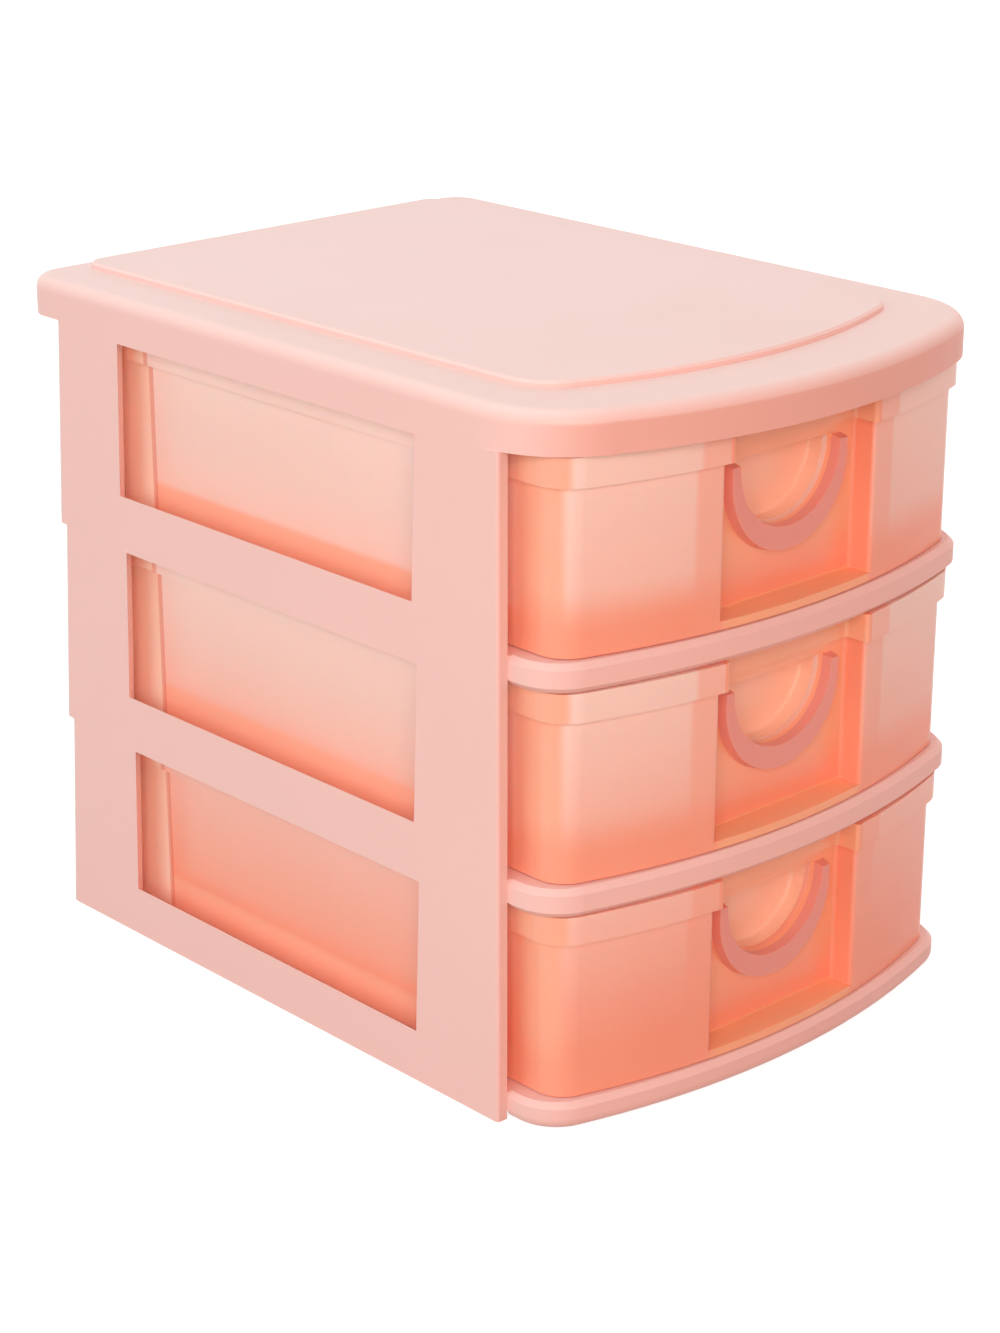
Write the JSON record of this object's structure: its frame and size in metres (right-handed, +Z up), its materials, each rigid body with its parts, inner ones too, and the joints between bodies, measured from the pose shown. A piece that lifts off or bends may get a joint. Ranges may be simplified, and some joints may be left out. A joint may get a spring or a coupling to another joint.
{
  "type": "drawer organizer",
  "caption": "Desktop organizer with bow-fronted translucent drawers that slide out by finger holes, in a snap-together cabinet with side windows and a raised-field lid.",
  "frame": {"origin": "middle of the footprint's box, on the table", "axes": "+Z up, -Y to the front, where the drawers come out, +X to the right of someone who faces the front"},
  "size_m": [0.15, 0.207, 0.1742],
  "materials": {
    "cabinet_plastic": "satin moulded plastic, opaque pale pink",
    "drawer_plastic": "smooth moulded plastic, translucent coral"
  },
  "bodies": {
    "cabinet": {"top_lid": "cabinet_plastic", "left_side_panel": "cabinet_plastic", "right_side_panel": "cabinet_plastic", "back_panel": "cabinet_plastic", "upper_shelf": "cabinet_plastic", "lower_shelf": "cabinet_plastic", "base_shelf": "cabinet_plastic"},
    "lower_drawer": {"lower_drawer": "drawer_plastic"},
    "middle_drawer": {"middle_drawer": "drawer_plastic"},
    "upper_drawer": {"upper_drawer": "drawer_plastic"}
  },
  "joints": [
    {"name": "lower_drawer_slide", "type": "slide", "parent": "cabinet", "child": "lower_drawer", "axis": [0, -1, 0], "range_m": [0, 0.11]},
    {"name": "middle_drawer_slide", "type": "slide", "parent": "cabinet", "child": "middle_drawer", "axis": [0, -1, 0], "range_m": [0, 0.11]},
    {"name": "upper_drawer_slide", "type": "slide", "parent": "cabinet", "child": "upper_drawer", "axis": [0, -1, 0], "range_m": [0, 0.11]}
  ]
}
